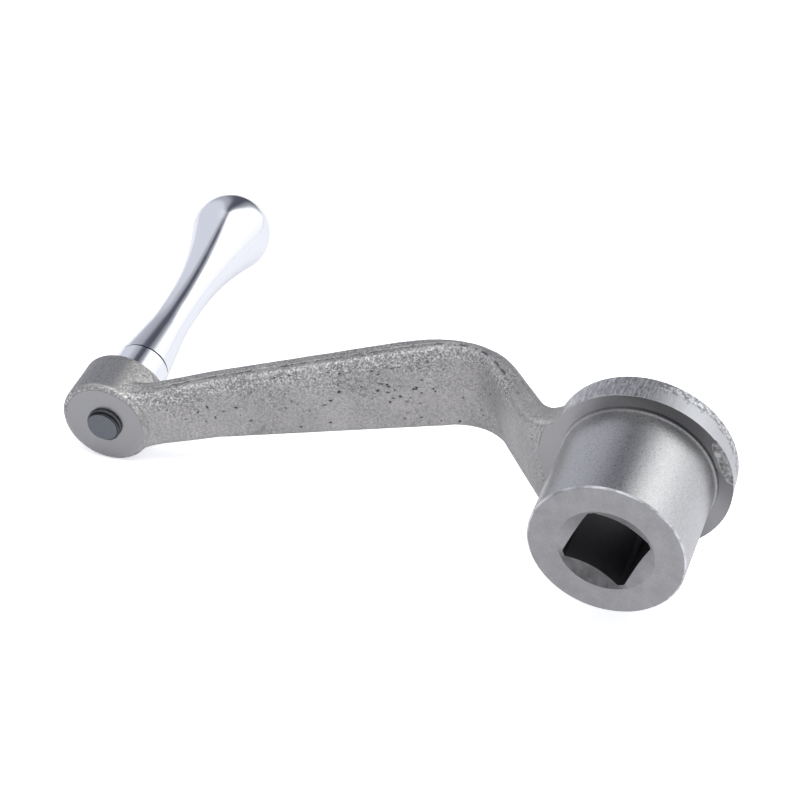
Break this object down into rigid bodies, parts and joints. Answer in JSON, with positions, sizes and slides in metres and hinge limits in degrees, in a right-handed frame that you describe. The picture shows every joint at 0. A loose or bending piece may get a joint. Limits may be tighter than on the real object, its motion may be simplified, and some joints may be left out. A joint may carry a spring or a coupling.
{
  "type": "crank handle",
  "caption": "Cast crank handle with an offset arm, a long hub with a square drive socket and a slim revolving metal grip.",
  "frame": {"origin": "on the shaft axis, at the mouth of the square drive socket in the end face of the hub boss", "axes": "+Y out of the socket along the shaft axis, +X along the arm from the shaft to the handle, +Z square to both; the handle points towards -Y"},
  "size_m": [0.155, 0.1156, 0.0392],
  "materials": {
    "cranked_arm": "blasted casting with turned hub faces",
    "handle_spindle": "bright chrome collar, plain steel stud",
    "handle_sleeve": "bright chrome",
    "retaining_ring": "plain spring steel"
  },
  "bodies": {
    "crank": {"cranked_arm": "cranked_arm", "handle_spindle": "handle_spindle", "retaining_ring": "retaining_ring"},
    "handle": {"handle_sleeve": "handle_sleeve"}
  },
  "joints": [
    {"name": "handle_spin", "type": "hinge", "parent": "crank", "child": "handle", "pos_m": [0.125, -0.0525, 0], "axis": [0, -1, 0], "continuous": true}
  ]
}
